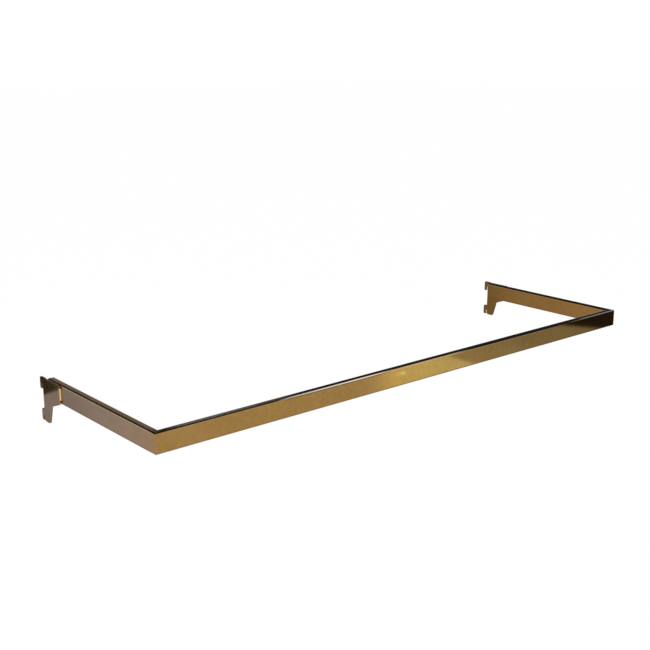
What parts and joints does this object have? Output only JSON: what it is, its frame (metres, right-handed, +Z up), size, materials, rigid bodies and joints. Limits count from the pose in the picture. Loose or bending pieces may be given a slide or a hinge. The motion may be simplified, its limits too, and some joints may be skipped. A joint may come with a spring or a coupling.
{
  "type": "clothes rail",
  "caption": "U-shaped clothes rail of flat gold-plated tube with mitred corners and a hook-in plate at the end of each arm, for slotted wall uprights.",
  "frame": {"origin": "where the left upper hook bears on its upright: the middle of the left plate's thickness, the upright's front face, and the flat seat under the hook's arm", "axes": "+X along the front rail from the left hook plate to the right one, +Y towards the wall, +Z up"},
  "size_m": [1.003, 0.3185, 0.069],
  "materials": {
    "tube": "polished gold-coloured plating",
    "plate": "gold-coloured plating over sheet steel, less polished than the tube",
    "weld": "plated weld metal, dressed smooth"
  },
  "bodies": {
    "root": {"front_rail": "tube", "left_arm": "tube", "right_arm": "tube", "left_corner_weld": "weld", "right_corner_weld": "weld", "left_hook_plate": "plate", "right_hook_plate": "plate", "left_front_bead": "weld", "right_front_bead": "weld", "left_end_bead": "weld", "right_end_bead": "weld"}
  },
  "joints": []
}
